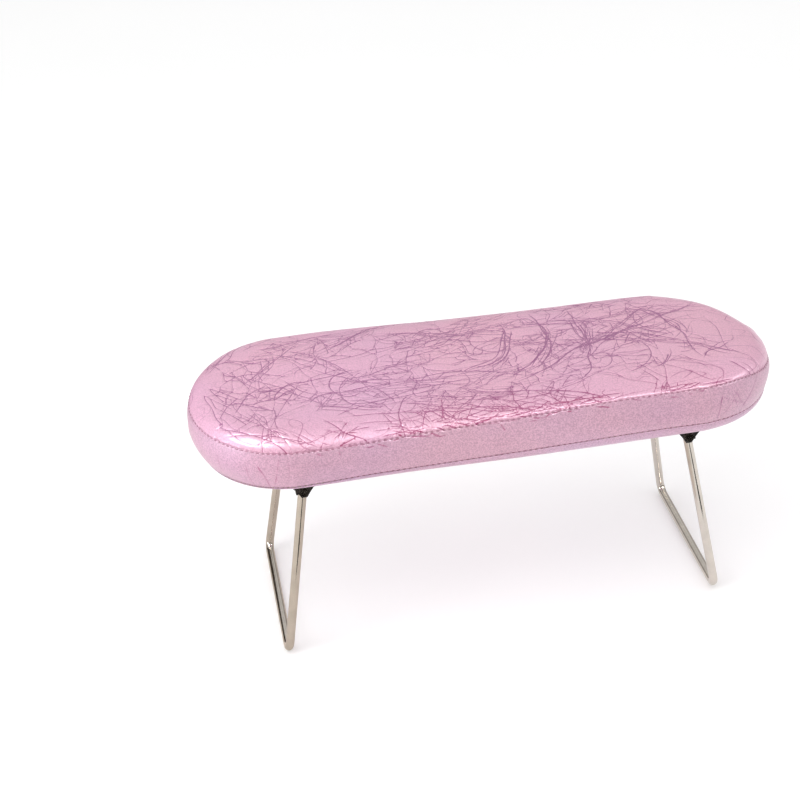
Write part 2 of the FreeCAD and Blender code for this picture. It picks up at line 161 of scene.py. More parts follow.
def ease(value):
    """Clamp to 0..1 with soft ends."""
    value = np.clip(value, 0, 1)
    return value * value * (3 - 2 * value)


def smooth_noise(rng, count, wavelength, spacing):
    """A smooth random signal of about unit size, sampled at an even spacing."""
    knots = max(4, int(count * spacing / wavelength) + 4)
    values = rng.normal(size=knots)
    place = np.linspace(0, knots - 1.001, count)
    index = place.astype(int)
    blend = ease(place - index)
    return values[index] * (1 - blend) + values[np.minimum(index + 1, knots - 1)] * blend


# ---- mesh helpers

def add_object(name, data):
    """Put a new object in the scene."""
    piece = bpy.data.objects.new(name, data)
    bpy.context.scene.collection.objects.link(piece)
    return piece


def make_object(name, points, faces, **values):
    """A mesh object from points in millimetres above the table.  Named values belong to its first
    points; those of the rest are 0."""
    mesh = bpy.data.meshes.new(name)
    mesh.from_pydata((np.asarray(points) * MM).tolist(), [], [list(face) for face in faces])
    mesh.update()
    mesh.polygons.foreach_set("use_smooth", [True] * len(mesh.polygons))
    for label, array in values.items():
        layer = mesh.attributes.new(label, "FLOAT", "POINT")
        full = np.zeros(len(points), dtype=np.float32)
        full[:len(array)] = array
        layer.data.foreach_set("value", full)
    return add_object(name, mesh)


def strips(firsts, count):
    """Quads between successive closed rings of count points, given by the index of each first point."""
    faces = []
    for upper, lower in zip(firsts, firsts[1:]):
        for index in range(count):
            following = (index + 1) % count
            faces.append((lower + index, lower + following, upper + following, upper + index))
    return faces


def ring_starts(rows, count):
    """The index of the first point of each ring."""
    return [row * count for row in range(rows)]


def stack(sheets):
    """Points and faces of several sheets as one, and where each sheet starts."""
    faces = []
    starts = [0]
    for points, own_faces in sheets:
        faces += [tuple(index + starts[-1] for index in face) for face in own_faces]
        starts.append(starts[-1] + len(points))
    return np.vstack([points for points, _faces in sheets]), faces, starts


def turned(faces):
    """The same faces, looking the other way."""
    return [face[::-1] for face in faces]


def close_block(name, count, top, top_faces, rings, base, base_faces, **values):
    """One closed mesh from a top sheet, rings down its side and a base sheet.  The first count points
    of each sheet are its rim."""
    sheets = [(top, top_faces), *((ring, ()) for ring in rings), (base, turned(base_faces))]
    points, faces, starts = stack(sheets)
    return make_object(name, points, faces + strips(starts[:-1], count), **values)


def level_sheet(flat, height):
    """Plan points at one height."""
    return np.column_stack([flat, np.full(len(flat), height)])


def fill_outline(ring, inner, links=()):
    """Triangles over a closed ring of plan points and the points inside it; no triangle crosses the
    links, which join pairs of inner points."""
    points = [Vector(point) for point in np.vstack([ring, inner])]
    count = len(ring)
    edges = [(index, (index + 1) % count) for index in range(count)]
    edges += [(first + count, second + count) for first, second in links]
    found, _edges, faces, _v, _e, _f = geometry.delaunay_2d_cdt(points, edges, [], 1, 1e-6, False)
    return np.array([tuple(point) for point in found]), faces


def grid_inside(pitch, depth, rng, jitter=0.1):
    """Loose plan points on a staggered grid, at least a depth inside the outline."""
    across = np.arange(-HALF_LENGTH, HALF_LENGTH, pitch)
    rows = np.arange(-HALF_WIDTH, HALF_WIDTH, pitch * math.sqrt(3) / 2)
    plan = np.array([(x + (row % 2) * pitch / 2, y) for row, y in enumerate(rows) for x in across])
    plan += rng.uniform(-jitter, jitter, plan.shape) * pitch
    inset, _normal = inset_of(plan)
    return plan[inset > depth]


# ---- cushion profiles

class Profile:
    """A cross-section of the cover, from a seam inwards, as inset and height against length."""

    def __init__(self, inset, height):
        self.inset = np.asarray(inset, dtype=float)
        self.height = np.asarray(height, dtype=float)
        steps = np.hypot(np.diff(self.inset), np.diff(self.height))
        self.length = np.concatenate([[0.0], np.cumsum(steps)])
        self.total = self.length[-1]

    def at(self, length, step=0.3):
        """Inset, height and their slopes at lengths along the profile."""
        length = np.asarray(length)
        places = [length, np.minimum(length + step, self.total), np.maximum(length - step, 0)]
        inset, inset_ahead, inset_behind = (np.interp(place, self.length, self.inset) for place in places)
        height, height_ahead, height_behind = (np.interp(place, self.length, self.height) for place in places)
        run = inset_ahead - inset_behind
        rise = height_ahead - height_behind
        size = np.hypot(run, rise)
        return inset, height, run / size, rise / size


def crown_height(inset):
    """Height of the top panel above the underside, inside its shoulder."""
    reach = np.clip((np.asarray(inset) - TOP_SEAM_INSET) / SHOULDER_REACH, 0, 1)
    shoulder = SHOULDER_RISE * (1 - (1 - reach) ** 2.3) ** 0.62
    middle = np.clip(np.asarray(inset) / HALF_WIDTH, 0, 1)
    swell = (CROWN - PUFF_ROOM - TOP_SEAM - SHOULDER_RISE) * (1 - (1 - middle) ** 2)
    return TOP_SEAM + shoulder + swell


def make_profiles():
    """Cross-sections of the top panel's shoulder, the side band and the rim under the low seam."""
    angle = np.linspace(0, 1, 60) ** 1.6
    top_inset = TOP_SEAM_INSET + (PROFILE_DEPTH - TOP_SEAM_INSET) * angle
    top = Profile(top_inset, crown_height(top_inset))
    drop = np.linspace(0, 1, 50)
    bulge = np.sin(drop * math.pi) ** 0.7
    seam_line = TOP_SEAM_INSET + (LOW_SEAM_INSET - TOP_SEAM_INSET) * drop
    side = Profile(seam_line - (TOP_SEAM_INSET - 0.5) * bulge, TOP_SEAM + (LOW_SEAM - TOP_SEAM) * drop)
    roll = np.linspace(0, math.pi / 2, 40)
    rim_depth = 14.5
    rim_inset = LOW_SEAM_INSET - 0.5 + rim_depth * (1 - np.cos(roll))
    rim_height = HEM_HEIGHT + (LOW_SEAM - HEM_HEIGHT) * (1 - np.sin(roll) ** 0.9)
    rim_inset = np.concatenate([[LOW_SEAM_INSET], rim_inset[1:], [HEM_INSET]])
    rim_height = np.concatenate([[LOW_SEAM], rim_height[1:], [HEM_HEIGHT]])
    return top, side, Profile(rim_inset, rim_height)


TOP_PROFILE, SIDE_PROFILE, RIM_PROFILE = make_profiles()
TOP_MARGIN = TOP_PROFILE.total - PROFILE_DEPTH   # how much the unrolled shoulder outgrows its plan


# Hand sewing wanders.  Each bump is a height, a place along the length and a reach.
TOP_FRONT_SAG = ((7.0, -118, 88), (2.6, 5, 50), (3.0, 182, 16))
TOP_BACK_SAG = ((5.0, 182, 40), (-5.0, -110, 90), (3.5, -198, 22))
TOP_TIP_SAG = ((12.5, 207, 20),)
LOW_FRONT_SAG = ((3.0, -95, 80), (-1.6, 110, 60))
LOW_LEFT_SAG = 5.5         # how much the low seam sags round the left end
CROWN_BACK_SAG = ((1.6, 170, 40), (-2.2, -125, 90))
CROWN_TIP_SAG = ((1.0, 205, 22),)
PULLED_CORNERS = ((1, 1, 6.0), (1, -1, 2.0), (-1, -1, 2.0), (-1, 1, 2.0))   # ends, sides and how far
LEFT_TUCK = 7.5            # how far the low seam is drawn under at the left end
RIGHT_TUCK = 0.8           # the same at the right end
FRONT_TUCK = (4.0, -75, 65)
TIP_BULGE = (2.2, 205, 14)


def humps(x, bumps):
    """The sum of several bumps."""
    return sum(height * hump(x, centre, reach) for height, centre, reach in bumps)


def settle(points, facing):
    """Let the seams sag and rise, pull the cover in at its corners and draw the low seam under."""
    x, y, z = points.T
    front = ease(0.5 - y / 60)
    left = ease((-80 - x) / 95)
    top = TOP_SEAM - front * humps(x, TOP_FRONT_SAG) - (1 - front) * humps(x, TOP_BACK_SAG)
    top -= humps(x, TOP_TIP_SAG)
    low = LOW_SEAM - front * humps(x, LOW_FRONT_SAG) - LOW_LEFT_SAG * left
    crown = CROWN - (1 - front) * humps(x, CROWN_BACK_SAG) - humps(x, CROWN_TIP_SAG)

    def warp(level):
        under = level * low / LOW_SEAM
        beside = low + (level - LOW_SEAM) * (top - low) / (TOP_SEAM - LOW_SEAM)
        above = top + (level - TOP_SEAM) * (crown - top) / (CROWN - TOP_SEAM)
        return np.where(level < LOW_SEAM, under, np.where(level < TOP_SEAM, beside, above))

    height = z - UNDERSIDE
    moved = warp(height)
    stretch = (warp(height + 0.05) - warp(height - 0.05)) / 0.1
    depth, normal = inset_of(points[:, :2])
    corner = sum(
        pull * (normal[:, 0] * end > 0) * (normal[:, 1] * side > 0) for end, side, pull in PULLED_CORNERS
    )
    slant = np.abs(2 * normal[:, 0] * normal[:, 1]) ** 0.6
    corner = corner * slant * np.clip(1 - depth / CORNER, 0, 1) ** 1.5
    tuck = LEFT_TUCK * left + RIGHT_TUCK * ease((x - 95) / 60) + front * (1 - left) * humps(x, [FRONT_TUCK])
    tuck = tuck * np.clip(1 - moved / 26, 0, 1) ** 1.6
    tuck -= humps(x, [TIP_BULGE]) * hump(moved, 31, 9) * np.clip(1 - depth / 25, 0, 1)
    plan = points[:, :2] - normal * (corner + tuck)[:, None]
    facing = facing / np.column_stack([np.ones((len(z), 2)), stretch])
    facing = facing / np.linalg.norm(facing, axis=1)[:, None]
    return np.column_stack([plan, UNDERSIDE + moved]), facing


def place_top(flat):
    """Cover points and normals for points of the unrolled top panel."""
    depth, normal = inset_of(flat)
    length = np.clip(depth + TOP_MARGIN, 0, TOP_PROFILE.total)
    inset, height, run, rise = TOP_PROFILE.at(length)
    deep = depth > PROFILE_DEPTH
    inset = np.where(deep, depth, inset)
    height = np.where(deep, crown_height(depth), height)
    plan = flat + normal * (depth - inset)[:, None]
    run = np.where(deep, 1.0, run)
    rise = np.where(deep, 0.0, rise)
    facing = np.column_stack([normal * rise[:, None], run])
    return settle(np.column_stack([plan, UNDERSIDE + height]), facing)


def place_ring(profile, lengths, count):
    """Rings of cover points and normals down a profile, all round the outline."""
    points, normals = outline(count)
    inset, height, run, rise = profile.at(lengths)
    place = []
    facing = []
    for depth, lift, across, climb in zip(inset, height, run, rise):
        place.append(level_sheet(points - normals * depth, UNDERSIDE + lift))
        facing.append(level_sheet(normals * -climb, -across))
    return settle(np.vstack(place), np.vstack(facing))


def ring_lengths(lengths, count):
    """Length round the outline and down the profile of the points of place_ring()."""
    along = np.tile(np.arange(count) * PERIMETER / count, len(lengths))
    return along, np.repeat(lengths, count)


# ---- cloth: puff of the cover

PUFF_FRAMES = 20
SMOOTH_PASSES = 8
SKIN_PITCH = 5.0
FABRIC = {
    "quality": 5,
    "mass": 0.3,
    "tension_stiffness": 12,
    "compression_stiffness": 12,
    "shear_stiffness": 5,
    "bending_stiffness": 0.3,
    "vertex_group_mass": "held",
    "use_pressure": True,
    "uniform_pressure_force": 4,
    "shrink_min": -0.012,
}


def coarse_skin(pitch):
    """A closed, coarse skin of the cushion with the rows at its seams marked as held."""
    rng = np.random.default_rng(SEED)
    count = int(PERIMETER / pitch)
    edge, normals = outline(count)
    top_ring = edge + normals * TOP_MARGIN
    top_flat, top_faces = fill_outline(top_ring, grid_inside(pitch, pitch * 0.7 - TOP_MARGIN, rng))
    sheets = [(place_top(top_flat)[0], top_faces)]
    for profile, rows in ((SIDE_PROFILE, 8), (RIM_PROFILE, 7)):
        ring, _facing = place_ring(profile, np.linspace(0, profile.total, rows), count)
        sheets.append((ring, strips(ring_starts(rows, count), count)))
    hem = sheets[-1][0][-count:, :2]
    base_flat, base_faces = fill_outline(hem, grid_inside(pitch, HEM_INSET + pitch * 0.7, rng))
    sheets.append((level_sheet(base_flat, UNDERSIDE + HEM_HEIGHT), turned(base_faces)))
    points, faces, starts = stack(sheets)
    held = np.zeros(len(points))
    held[:count] = 1
    held[starts[1]:starts[1] + count] = 1
    held[starts[2] - count:] = 1
    return make_object("coarse_skin", points, faces, held=held)


def weld(piece, distance=0.05):
    """Join the seams of a coarse skin and leave it as triangles that look outwards."""
    shell = bmesh.new()
    shell.from_mesh(piece.data)
    bmesh.ops.remove_doubles(shell, verts=shell.verts, dist=distance * MM)
    bmesh.ops.triangulate(shell, faces=shell.faces)
    bmesh.ops.recalc_face_normals(shell, faces=shell.faces)
    shell.to_mesh(piece.data)
    shell.free()


def read_points(piece):
    """A mesh's own points in millimetres."""
    points = np.empty(3 * len(piece.data.vertices), dtype=np.float64)
    piece.data.vertices.foreach_get("co", points)
    return points.reshape(-1, 3) / MM


def run_cloth(piece):
    """Puff the skin with inner pressure between its held seams and return how each point moved."""
    rest = read_points(piece)
    held = np.empty(len(rest), dtype=np.float32)
    piece.data.attributes["held"].data.foreach_get("value", held)
    group = piece.vertex_groups.new(name="held")
    group.add([int(index) for index in np.nonzero(held > 0.5)[0]], 1.0, "REPLACE")
    cloth = piece.modifiers.new("cloth", "CLOTH")
    for name, value in FABRIC.items():
        setattr(cloth.settings, name, value)
    cloth.settings.effector_weights.gravity = 0
    cloth.collision_settings.use_collision = False
    scene = bpy.context.scene
    for number in range(1, PUFF_FRAMES + 1):
        scene.frame_set(number)
    graph = bpy.context.evaluated_depsgraph_get()
    moved = np.empty(3 * len(rest), dtype=np.float64)
    piece.evaluated_get(graph).data.vertices.foreach_get("co", moved)
    shift = moved.reshape(-1, 3) / MM - rest
    piece.modifiers.clear()
    scene.frame_set(1)
    distance = np.linalg.norm(shift, axis=1)
    shift = shift * (np.minimum(distance, PUFF_LIMIT) / np.maximum(distance, 1e-6))[:, None]
    return even_out(piece, shift, held > 0.5)


def even_out(piece, shift, held):
    """Average each point's movement with its neighbours', so that the coarse skin leaves no facets."""
    edges = np.empty(2 * len(piece.data.edges), dtype=np.int32)
    piece.data.edges.foreach_get("vertices", edges)
    edges = edges.reshape(-1, 2)
    both = np.vstack([edges, edges[:, ::-1]])
    neighbours = np.bincount(both[:, 0], minlength=len(shift))[:, None]
    for _pass in range(SMOOTH_PASSES):
        total = np.zeros_like(shift)
        np.add.at(total, both[:, 0], shift[both[:, 1]])
        shift = 0.5 * shift + 0.5 * total / neighbours
        shift[held] = 0
    return shift


class Puff:
    """The cloth's movement, carried over to any point near the coarse skin."""

    def __init__(self):
        skin = coarse_skin(SKIN_PITCH)
        weld(skin)
        self.rest = read_points(skin)
        self.shift = run_cloth(skin)
        self.corners = np.array([tuple(face.vertices) for face in skin.data.polygons])
        self.tree = BVHTree.FromPolygons(self.rest.tolist(), self.corners.tolist())
        bpy.data.objects.remove(skin)

    def carry(self, points):
        """The movement of each point: that of the nearest place on the skin."""
        found = [self.tree.find_nearest(Vector(point)) for point in points]
        near = np.array([tuple(hit[0]) for hit in found])
        corners = self.corners[[hit[2] for hit in found]]
        first, second, third = (self.rest[corners[:, index]] for index in range(3))
        one, two, gap = second - first, third - first, near - first
        a, b, c = (one * one).sum(1), (one * two).sum(1), (two * two).sum(1)
        d, e = (gap * one).sum(1), (gap * two).sum(1)
        scale = np.maximum(a * c - b * b, 1e-9)
        share_two = (c * d - b * e) / scale
        share_three = (a * e - b * d) / scale
        shares = np.column_stack([1 - share_two - share_three, share_two, share_three])
        return (self.shift[corners] * shares[:, :, None]).sum(axis=1)

    def lift(self, place, facing, sink=0.0):
        """Points moved with the cloth and sunk below the cover, with their normals."""
        return place + self.carry(place) - facing * sink, facing


# ---- crease lines

CREASE_STEP = 0.6          # spacing of the points that make up a crease
FLANK = 1.7                # distance from a crease's middle to its flank, in half widths
JOIN_CELL = 1.1            # how near a growing crease must come to another to join it
CREASE_SEARCH = 1.5        # how far from a point a crease can still shape it
DISTRICT = 9.0             # plan size of the squares that each take the same share of branches
LINKS_EACH = 3


def beside(line):
    """Unit plan vectors square to a crease at each of its points."""
    ahead = np.gradient(line, axis=0)
    return np.column_stack([-ahead[:, 1], ahead[:, 0]]) / CREASE_STEP


def strand(rng, start, heading, length, wander, kinks=0.0):
    """One crease as plan points: a smooth wander with optional sudden turns."""
    count = max(6, int(length / CREASE_STEP))
    bend = smooth_noise(rng, count, 16.0, CREASE_STEP) * wander
    turns = (rng.random(count) < kinks * CREASE_STEP) * rng.normal(0, 0.7, count)
    angle = heading + np.cumsum(bend * CREASE_STEP) + np.cumsum(turns)
    return np.asarray(start) + np.cumsum(compass(angle) * CREASE_STEP, axis=0)


def bundle(rng, count, spread, *path):
    """Several strands that run together, part and cross."""
    spine = strand(rng, *path)
    side = beside(spine)
    strands = []
    for _index in range(count):
        first = rng.uniform(0, 0.35)
        last = rng.uniform(0.6, 1)
        keep = slice(int(first * len(spine)), int(last * len(spine)))
        offset = spread * (rng.normal(0, 0.9) + 0.55 * smooth_noise(rng, len(spine), 38.0, CREASE_STEP))
        strands.append((spine + side * offset[:, None])[keep])
    return strands


class Creases:
    """A set of crease lines with strength, half width and redness at each of their points."""

    def __init__(self):
        self.lines = []
        self.taken = set()
        self.crowd = {}

    def add(self, rng, line, strength, width=0.5, red=0.0, joined=False):
        """Keep a line, wavering along its length and, unless it joins others, fading at both ends."""
        count = len(line)
        if count < 6:
            return
        place = np.linspace(0, 1, count)
        fade = 1.0 if joined else np.clip(np.minimum(place, 1 - place) * 7, 0.3, 1)
        waver = np.clip(0.93 + 0.14 * smooth_noise(rng, count, 14.0, CREASE_STEP), 0.6, 1.15)
        self.lines.append((line, strength * fade * waver, np.full(count, width), np.full(count, red)))
        self.taken.update(map(tuple, np.round(line / JOIN_CELL).astype(int)))

    def until_met(self, line):
        """The part of a line that starts on a crease up to where it meets the next one, if it does."""
        cells = [tuple(cell) for cell in np.round(line / JOIN_CELL).astype(int)]
        clear = int(8 * JOIN_CELL / CREASE_STEP)
        for index in range(clear, len(line)):
            if cells[index] in self.taken:
                return line[:index + 1]
        return None

    def grow_links(self, rng, tries, low, high, strength, width):
        """Let short creases branch off inside a plan box and run until they meet another crease."""
        for _index in range(tries):
            line = self.lines[rng.integers(len(self.lines))][0]
            place = rng.integers(2, len(line) - 2)
            district = tuple(np.round(line[place] / DISTRICT).astype(int))
            full = self.crowd.get(district, 0) >= LINKS_EACH
            if full or np.any(line[place] < low) or np.any(line[place] > high):
                continue
            ahead = line[place + 1] - line[place]
            turn = rng.choice([-1, 1]) * rng.uniform(0.25, 1.0)
            heading = math.atan2(ahead[1], ahead[0]) + turn
            link = self.until_met(strand(rng, line[place], heading, rng.uniform(14, 60), 0.045, 0.01))
            if link is not None:
                self.crowd[district] = self.crowd.get(district, 0) + 1
                self.add(rng, link, rng.uniform(*strength), rng.uniform(*width), joined=True)

    def finish(self):
        """Index all points for looking up the nearest crease."""
        points, self.strength, self.width, self.red = map(np.concatenate, zip(*self.lines))
        self.tree = plan_tree(points)

    def at(self, flat):
        """Crease depth and flank height, from 0 to 1, and redness at plan points."""
        depth, flank, red = np.zeros((3, len(flat)))
        for index, point in enumerate(flat):
            for _place, nearest, distance in self.tree.find_range((*point, 0.0), CREASE_SEARCH):
                reach = FLANK * self.width[nearest]
                strength = self.strength[nearest]
                value = strength * max(0.0, 1 - distance / reach) ** 0.8
                bank = strength * max(0.0, 1 - abs(distance - 1.35 * reach) / reach)
                flank[index] = max(flank[index], bank)
                if value > depth[index]:
                    depth[index] = value
                    red[index] = self.red[nearest]
        return np.clip(depth, 0, 1), flank * (1 - np.clip(3 * depth, 0, 1)), red


def spread_out(rng, count):
    """Random numbers from 0 to 1, one in each of count equal shares."""
    return (np.arange(count) + rng.random(count)) / count


def braid(creases, rng, count, spine, strands, spread, strength, width):
    """Add bundles of strands that run side by side, their spines shared out over the panel."""
    for share in spread_out(rng, count):
        lines = bundle(rng, strands + rng.integers(-1, 2), spread, *spine(rng, share))
        for line in lines:
            creases.add(rng, line, rng.uniform(*strength), rng.uniform(*width))


def curl(rng, start, radius, length):
    """A hook or loop of nearly steady curvature."""
    count = int(length / CREASE_STEP)
    bend = (1 + 0.6 * smooth_noise(rng, count, 16.0, CREASE_STEP)) * CREASE_STEP / radius
    angle = rng.uniform(0, 2 * math.pi) + np.cumsum(bend) * rng.choice([-1, 1])
    return np.asarray(start) + np.cumsum(compass(angle), axis=0) * CREASE_STEP


def front_places(rng, tries, reach):
    """Random lengths along the front seam, kept as often as the seam gathers the cover there."""
    for _index in range(tries):
        place = rng.uniform(0.02, reach) * FRONT
        if rng.random() <= gathered(place):
            yield place


def top_creases():
    """Creases of the top panel: long bundles, crossing sweeps, fans, loops and kinked hairlines."""
    rng = np.random.default_rng(SEED + 1)
    creases = Creases()

    def lengthwise(rng, share):
        start = (rng.uniform(-170, 30), -56 + 114 * share)
        return start, rng.normal(0.03, 0.14), rng.uniform(100, 220), 0.011

    def crosswise(rng, share):
        return (10 + 105 * share, 64), -math.pi / 2 + rng.normal(0, 0.22), rng.uniform(90, 130), 0.02

    def slanting(rng, share):
        return (rng.uniform(-10, 85), 4 + 60 * share), rng.normal(-0.40, 0.12), rng.uniform(80, 140), 0.008

    def left_end(rng, share):
        start = (rng.uniform(-195, -105), -52 + 100 * share)
        return start, rng.uniform(-1.1, 1.3), rng.uniform(40, 110), 0.009

    def right_front(rng, share):
        return (40 + 125 * share, rng.uniform(-60, -5)), rng.uniform(-1.2, 2.2), rng.uniform(25, 70), 0.025

    braid(creases, rng, 24, lengthwise, 4, 4.4, (0.45, 0.9), (0.21, 0.33))
    braid(creases, rng, 5, crosswise, 3, 3.4, (0.65, 1.0), (0.27, 0.4))
    braid(creases, rng, 5, slanting, 3, 3.6, (0.6, 1.0), (0.25, 0.38))
    braid(creases, rng, 17, left_end, 2, 3.0, (0.6, 1.0), (0.24, 0.36))
    braid(creases, rng, 13, right_front, 2, 2.6, (0.6, 0.9), (0.24, 0.34))
    for share in spread_out(rng, 22):
        start = (-150 + 300 * share, rng.uniform(-45, 50))
        line = curl(rng, start, rng.uniform(7, 24), rng.uniform(25, 75))
        creases.add(rng, line, rng.uniform(0.6, 0.95), rng.uniform(0.24, 0.34))
    # Nearly straight creases that cross at the left end.
    for share in spread_out(rng, 20):
        start = (rng.uniform(-202, -150), -58 + 110 * share)
        line = strand(rng, start, rng.uniform(-1.1, 1.1), rng.uniform(28, 75), 0.006, 0.01)
        creases.add(rng, line, rng.uniform(0.6, 0.9), rng.uniform(0.23, 0.34))
    # Long loose strands towards the quieter right end.
    for _index in range(12):
        start = (rng.uniform(90, 175), rng.uniform(-50, 50))
        line = strand(rng, start, rng.normal(-0.45, 0.5), rng.uniform(25, 80), 0.02, 0.02)
        creases.add(rng, line, rng.uniform(0.55, 0.85), rng.uniform(0.22, 0.3))
    # Branches that run from crease to crease and close the net, thickest at the front left.
    creases.grow_links(rng, 1900, (-200, -80), (120, 80), (0.45, 0.85), (0.19, 0.28))
    creases.grow_links(rng, 500, (120, -80), (190, 80), (0.45, 0.75), (0.19, 0.26))
    # Kinked hairlines between them.
    for _index in range(25):
        start = (rng.uniform(-190, 150), rng.uniform(-60, 62))
        line = strand(rng, start, rng.uniform(0, 2 * math.pi), rng.uniform(14, 44), 0.05, 0.03)
        creases.add(rng, line, rng.uniform(0.45, 0.7), rng.uniform(0.2, 0.26))
    # Crimson creases drawn along the front seam.
    seam = -HALF_WIDTH - TOP_MARGIN
    for place in front_places(rng, 100, 1.05):
        start = (place - FRONT / 2, seam + abs(rng.normal(0.8, 3.2)))
        line = strand(rng, start, rng.normal(0.02, 0.13), rng.uniform(8, 28), 0.02, 0.02)
        creases.add(rng, line, rng.uniform(0.55, 0.95), rng.uniform(0.22, 0.3), rng.uniform(0.5, 1.0))
    # Rays that leave the front seam at a slant.
    for place in front_places(rng, 60, 0.8):
        start = (place - FRONT / 2, seam + rng.uniform(0, 4))
        heading = rng.choice([0, math.pi]) + rng.choice([-1, 1]) * rng.uniform(0.3, 1.2)
        heading = math.copysign(1, math.sin(heading)) * heading
        line = strand(rng, start, heading, rng.uniform(7, 26), 0.03, 0.04)
        creases.add(rng, line, rng.uniform(0.5, 0.85), rng.uniform(0.22, 0.28), rng.uniform(0.2, 0.7))
    creases.finish()
    return creases


def side_creases():
    """Creases of the side band, in length round the outline and depth below the upper seam."""
    rng = np.random.default_rng(SEED + 2)
    creases = Creases()
    # Crimson gathers just under the front seam.
    for place in front_places(rng, 75, 1.05):
        start = (place, abs(rng.normal(0.0, 1.7)))
        line = strand(rng, start, rng.normal(0.1, 0.2), rng.uniform(4, 12), 0.04, 0.05)
        creases.add(rng, line, rng.uniform(0.35, 0.75), rng.uniform(0.42, 0.52), rng.uniform(0.5, 1.0))
    # Long slanting creases round the two ends, and faint hairlines elsewhere.
    for _index in range(34):
        end = rng.choice([0, 1])
        place = (280 + rng.uniform(0, 150)) if end else (PERIMETER - rng.uniform(0, 150))
        line = strand(rng, (place, rng.uniform(-2, 8)), rng.uniform(0.4, 2.5), rng.uniform(18, 50), 0.03)
        creases.add(rng, line, rng.uniform(0.4, 0.65), rng.uniform(0.45, 0.55), 0.2 if end else 0.7)
    for _index in range(70):
        start = (rng.uniform(0, PERIMETER), rng.uniform(0, 28))
        line = strand(rng, start, rng.normal(0, 0.6), rng.uniform(10, 60), 0.015, 0.02)
        creases.add(rng, line, rng.uniform(0.1, 0.28), 0.42)
    creases.finish()
    return creases


# ---- cover pieces

CREASE_DEPTH = 0.26        # how deep a full crease sinks
FLANK_RISE = 0.06          # how far the leather stands up beside it
EDGE_STEP = 0.82           # spacing of points round the edges of the top and rim panels
SIDE_STEP = 0.66           # the same round the side band
SPINE_STEP = 1.8           # spacing of points along the middle of a crease
GRID_STEP = 1.6            # spacing of the points between creases
CLEARANCE = 0.8            # how far those keep from a crease


def sift(points, cell):
    """Drop points that share a cell with an earlier one."""
    keys = np.round(points / cell).astype(np.int64)
    _values, first = np.unique(keys, axis=0, return_index=True)
    return points[np.sort(first)]


def away_from(points, others, cell):
    """The points whose cell and its neighbours hold none of the others."""
    taken = set(map(tuple, np.round(others / cell).astype(np.int64)))
    steps = [(x, y) for x in (-1, 0, 1) for y in (-1, 0, 1)]
    keep = []
    for index, (column, row) in enumerate(np.round(points / cell).astype(np.int64)):
        if not any((column + x, row + y) in taken for x, y in steps):
            keep.append(index)
    return points[keep]


def crease_points(creases, spacing, least):
    """Plan points along the middle of every crease, the links that join them, and points along both
    flanks; all lie at least a depth inside the outline."""
    stride = max(1, round(spacing / CREASE_STEP))
    middle = []
    flanks = []
    links = []
    first = 0
    for line, _strength, width, _red in creases.lines:
        reach = beside(line) * FLANK * width[:, None]
        spine = np.vstack([line[:-1:stride], line[-1:]])
        within = inset_of(spine)[0] > least
        links += [(first + index, first + index + 1) for index in np.nonzero(within[:-1] & within[1:])[0]]
        middle.append(np.where(within[:, None], spine, 0.0))
        first += len(spine)
        flanks += [(line + reach)[::stride], (line - reach)[::stride]]
    flanks = np.vstack(flanks)
    return np.vstack(middle), links, flanks[inset_of(flanks)[0] > least]


def build_top_cover(puff):
    """The top panel: a triangulated sheet whose points follow its creases, with real thickness."""
    rng = np.random.default_rng(SEED + 3)
    creases = top_creases()
    count = int(PERIMETER / EDGE_STEP)
    edge, normals = outline(count)
    ring = edge + normals * TOP_MARGIN
    middle, links, flanks = crease_points(creases, SPINE_STEP, 0.35 - TOP_MARGIN)
    flanks = sift(flanks, 0.3)
    grid = grid_inside(GRID_STEP, 0.5 - TOP_MARGIN, rng)
    grid = away_from(grid, np.vstack([middle, flanks]), CLEARANCE)
    flat, faces = fill_outline(ring, np.vstack([middle, flanks, grid]), links)
    place, facing = puff.lift(*place_top(flat))
    depth, flank, red = creases.at(flat)
    from_seam = inset_of(flat)[0] + TOP_MARGIN
    along = length_round(flat)
    wrinkle = (FLANK_RISE * flank - CREASE_DEPTH * depth) * np.clip(from_seam / 1.5, 0, 1)
    relief = seam_pucker(along, from_seam) + wrinkle - pinch(along, from_seam)
    outer = place + facing * relief[:, None]
    red = np.maximum(red, 0.75 * ease((-flat[:, 1] - HALF_WIDTH + 38) / 45))

    inner_flat, inner_faces = fill_outline(ring, grid_inside(6.0, 4.0, rng))
    inner, _facing = puff.lift(*place_top(inner_flat), COVER)
    return close_block(
        "top_cover_panel", count, outer, faces, (), inner, inner_faces, crease=depth, red=red
    )


def gathered(along):
    """How hard the front seam gathers the cover: strong left of the middle, weak at its ends."""
    main = np.exp(-((along - 0.42 * FRONT) / (0.36 * FRONT)) ** 4)
    second = 0.6 * np.exp(-((along - 0.93 * FRONT) / (0.09 * FRONT)) ** 4)
    return np.maximum(np.maximum(main, second), 0.07)


def seam_pucker(along, from_seam):
    """Ropes and dents where the seam gathers the top panel."""
    near = np.exp(-(from_seam / 6.5) ** 2) * np.clip(from_seam / 0.8, 0, 1)
    lean = from_seam * 2.3
    rope = np.sin((along + lean) / 1.9 + 2.2 * np.sin(along / 13)) + 0.7 * np.sin((along - lean) / 2.9)
    far = np.exp(-(from_seam / 16) ** 2)
    swell = np.sin(along / 12 + 1.7 * np.sin(along / 31))
    return gathered(along) * (0.17 * near * rope + 0.10 * far * swell)


def close_band(name, profile, outer, inner_lengths, count, puff, **values):
    """One closed band from the rings of its outer sheet and an inner sheet that starts where it ends."""
    inner, _facing = puff.lift(*place_ring(profile, inner_lengths, count), COVER)
    points = np.vstack([outer, inner])
    starts = ring_starts(len(points) // count, count)
    return make_object(name, points, strips([*starts, 0], count), **values)


